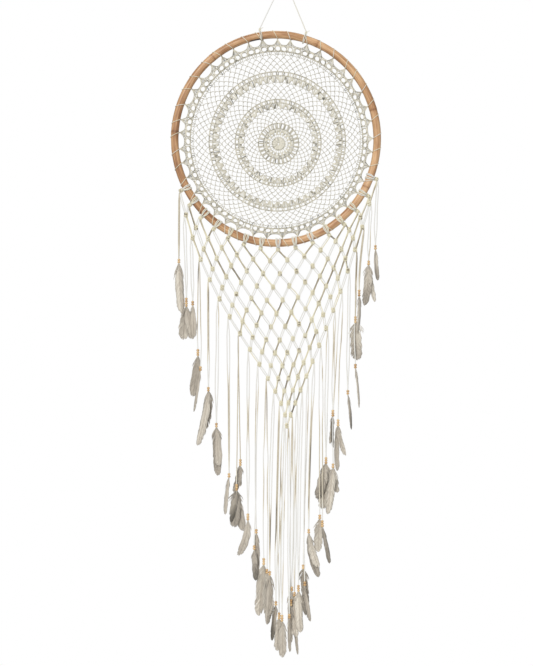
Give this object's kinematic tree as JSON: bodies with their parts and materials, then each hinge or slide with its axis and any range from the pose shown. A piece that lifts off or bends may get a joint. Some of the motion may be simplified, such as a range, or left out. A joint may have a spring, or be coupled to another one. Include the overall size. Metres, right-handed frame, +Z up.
{
  "type": "dream catcher",
  "caption": "Rattan hoop with a crocheted web and a knotted V-shaped macrame net, with hanging cords that end in beads and feathers.",
  "frame": {"origin": "inside top of the hanging loop, where a nail or hook bears", "axes": "+Z up, -Y towards the viewer, +X to the right as seen from the front"},
  "size_m": [0.6055, 0.0348, 1.9759],
  "materials": {
    "rattan": "satin",
    "cotton": "matte",
    "feather": "matte"
  },
  "bodies": {
    "loop": {"hanging_loop": "cotton"},
    "hanger": {"hanger_cord": "cotton"},
    "hoop": {"hoop": "rattan", "crochet_web": "cotton", "web_lacing": "cotton", "hanger_tie_left": "cotton", "hanger_tie_right": "cotton", "net_wing_left": "cotton", "net_wing_right": "cotton"},
    "curtain": {"net_curtain": "cotton"},
    "strand_centre_1": {"cord_centre_1": "cotton", "feathers_centre_1": "feather"},
    "strand_centre_2": {"cord_centre_2": "cotton", "feathers_centre_2": "feather"},
    "strand_centre_3": {"cord_centre_3": "cotton", "feathers_centre_3": "feather"},
    "strand_centre_4": {"cord_centre_4": "cotton", "feathers_centre_4": "feather"},
    "strand_centre_5": {"cord_centre_5": "cotton", "feathers_centre_5": "feather"},
    "strand_left_01": {"cord_left_01": "cotton", "feathers_left_01": "feather"},
    "strand_left_02": {"cord_left_02": "cotton", "feathers_left_02": "feather"},
    "strand_left_03": {"cord_left_03": "cotton", "feathers_left_03": "feather"},
    "strand_left_04": {"cord_left_04": "cotton", "feathers_left_04": "feather"},
    "strand_left_05": {"cord_left_05": "cotton", "feathers_left_05": "feather"},
    "strand_left_06": {"cord_left_06": "cotton", "feathers_left_06": "feather"},
    "strand_left_07": {"cord_left_07": "cotton", "feathers_left_07": "feather"},
    "strand_left_08": {"cord_left_08": "cotton", "feathers_left_08": "feather"},
    "strand_left_09": {"cord_left_09": "cotton", "feathers_left_09": "feather"},
    "strand_left_10": {"cord_left_10": "cotton", "feathers_left_10": "feather"},
    "strand_right_01": {"cord_right_01": "cotton", "feathers_right_01": "feather"},
    "strand_right_02": {"cord_right_02": "cotton", "feathers_right_02": "feather"},
    "strand_right_03": {"cord_right_03": "cotton", "feathers_right_03": "feather"},
    "strand_right_04": {"cord_right_04": "cotton", "feathers_right_04": "feather"},
    "strand_right_05": {"cord_right_05": "cotton", "feathers_right_05": "feather"},
    "strand_right_06": {"cord_right_06": "cotton", "feathers_right_06": "feather"},
    "strand_right_07": {"cord_right_07": "cotton", "feathers_right_07": "feather"},
    "strand_right_08": {"cord_right_08": "cotton", "feathers_right_08": "feather"},
    "strand_right_09": {"cord_right_09": "cotton", "feathers_right_09": "feather"},
    "strand_right_10": {"cord_right_10": "cotton", "feathers_right_10": "feather"}
  },
  "joints": [
    {"name": "hanger_swing", "type": "hinge", "parent": "loop", "child": "hanger", "pos_m": [0, 0, -0.0366], "axis": [0, 1, 0], "range_deg": [-10, 10]},
    {"name": "hoop_tilt", "type": "hinge", "parent": "hanger", "child": "hoop", "pos_m": [-0.00287, 0, -0.18144], "axis": [1, 0, 0], "range_deg": [-12, 12]},
    {"name": "net_fold", "type": "hinge", "parent": "hoop", "child": "curtain", "pos_m": [-0.023, 0, -0.78998], "axis": [1, 0, 0], "range_deg": [-10, 10]},
    {"name": "strand_centre_1_swing", "type": "hinge", "parent": "curtain", "child": "strand_centre_1", "pos_m": [-0.034, 0, -1.221], "axis": [1, 0, 0], "range_deg": [-12, 12]},
    {"name": "strand_centre_2_swing", "type": "hinge", "parent": "curtain", "child": "strand_centre_2", "pos_m": [-0.008, 0, -1.293], "axis": [1, 0, 0], "range_deg": [-12, 12]},
    {"name": "strand_centre_3_swing", "type": "hinge", "parent": "curtain", "child": "strand_centre_3", "pos_m": [0.008, 0, -1.326], "axis": [1, 0, 0], "range_deg": [-12, 12]},
    {"name": "strand_centre_4_swing", "type": "hinge", "parent": "curtain", "child": "strand_centre_4", "pos_m": [0.024, 0, -1.287], "axis": [1, 0, 0], "range_deg": [-12, 12]},
    {"name": "strand_centre_5_swing", "type": "hinge", "parent": "curtain", "child": "strand_centre_5", "pos_m": [0.056, 0, -1.213], "axis": [1, 0, 0], "range_deg": [-12, 12]},
    {"name": "strand_left_01_swing", "type": "hinge", "parent": "hoop", "child": "strand_left_01", "pos_m": [-0.29896, 0, -0.65143], "axis": [1, 0, 0], "range_deg": [-12, 12]},
    {"name": "strand_left_02_swing", "type": "hinge", "parent": "hoop", "child": "strand_left_02", "pos_m": [-0.28467, 0, -0.72059], "axis": [1, 0, 0], "range_deg": [-12, 12]},
    {"name": "strand_left_03_swing", "type": "hinge", "parent": "hoop", "child": "strand_left_03", "pos_m": [-0.26559, 0, -0.78587], "axis": [1, 0, 0], "range_deg": [-12, 12]},
    {"name": "strand_left_04_swing", "type": "hinge", "parent": "curtain", "child": "strand_left_04", "pos_m": [-0.24266, 0, -0.84741], "axis": [1, 0, 0], "range_deg": [-12, 12]},
    {"name": "strand_left_05_swing", "type": "hinge", "parent": "curtain", "child": "strand_left_05", "pos_m": [-0.21677, 0, -0.90537], "axis": [1, 0, 0], "range_deg": [-12, 12]},
    {"name": "strand_left_06_swing", "type": "hinge", "parent": "curtain", "child": "strand_left_06", "pos_m": [-0.18885, 0, -0.95992], "axis": [1, 0, 0], "range_deg": [-12, 12]},
    {"name": "strand_left_07_swing", "type": "hinge", "parent": "curtain", "child": "strand_left_07", "pos_m": [-0.15982, 0, -1.0112], "axis": [1, 0, 0], "range_deg": [-12, 12]},
    {"name": "strand_left_08_swing", "type": "hinge", "parent": "curtain", "child": "strand_left_08", "pos_m": [-0.13057, 0, -1.05937], "axis": [1, 0, 0], "range_deg": [-12, 12]},
    {"name": "strand_left_09_swing", "type": "hinge", "parent": "curtain", "child": "strand_left_09", "pos_m": [-0.10203, 0, -1.10458], "axis": [1, 0, 0], "range_deg": [-12, 12]},
    {"name": "strand_left_10_swing", "type": "hinge", "parent": "curtain", "child": "strand_left_10", "pos_m": [-0.07511, 0, -1.14699], "axis": [1, 0, 0], "range_deg": [-12, 12]},
    {"name": "strand_right_01_swing", "type": "hinge", "parent": "hoop", "child": "strand_right_01", "pos_m": [0.26774, 0, -0.61835], "axis": [1, 0, 0], "range_deg": [-12, 12]},
    {"name": "strand_right_02_swing", "type": "hinge", "parent": "hoop", "child": "strand_right_02", "pos_m": [0.24844, 0, -0.68857], "axis": [1, 0, 0], "range_deg": [-12, 12]},
    {"name": "strand_right_03_swing", "type": "hinge", "parent": "hoop", "child": "strand_right_03", "pos_m": [0.22839, 0, -0.75559], "axis": [1, 0, 0], "range_deg": [-12, 12]},
    {"name": "strand_right_04_swing", "type": "hinge", "parent": "hoop", "child": "strand_right_04", "pos_m": [0.20782, 0, -0.81946], "axis": [1, 0, 0], "range_deg": [-12, 12]},
    {"name": "strand_right_05_swing", "type": "hinge", "parent": "curtain", "child": "strand_right_05", "pos_m": [0.18696, 0, -0.8802], "axis": [1, 0, 0], "range_deg": [-12, 12]},
    {"name": "strand_right_06_swing", "type": "hinge", "parent": "curtain", "child": "strand_right_06", "pos_m": [0.16604, 0, -0.93785], "axis": [1, 0, 0], "range_deg": [-12, 12]},
    {"name": "strand_right_07_swing", "type": "hinge", "parent": "curtain", "child": "strand_right_07", "pos_m": [0.14528, 0, -0.99243], "axis": [1, 0, 0], "range_deg": [-12, 12]},
    {"name": "strand_right_08_swing", "type": "hinge", "parent": "curtain", "child": "strand_right_08", "pos_m": [0.12492, 0, -1.04398], "axis": [1, 0, 0], "range_deg": [-12, 12]},
    {"name": "strand_right_09_swing", "type": "hinge", "parent": "curtain", "child": "strand_right_09", "pos_m": [0.10518, 0, -1.09253], "axis": [1, 0, 0], "range_deg": [-12, 12]},
    {"name": "strand_right_10_swing", "type": "hinge", "parent": "curtain", "child": "strand_right_10", "pos_m": [0.0863, 0, -1.13811], "axis": [1, 0, 0], "range_deg": [-12, 12]}
  ]
}
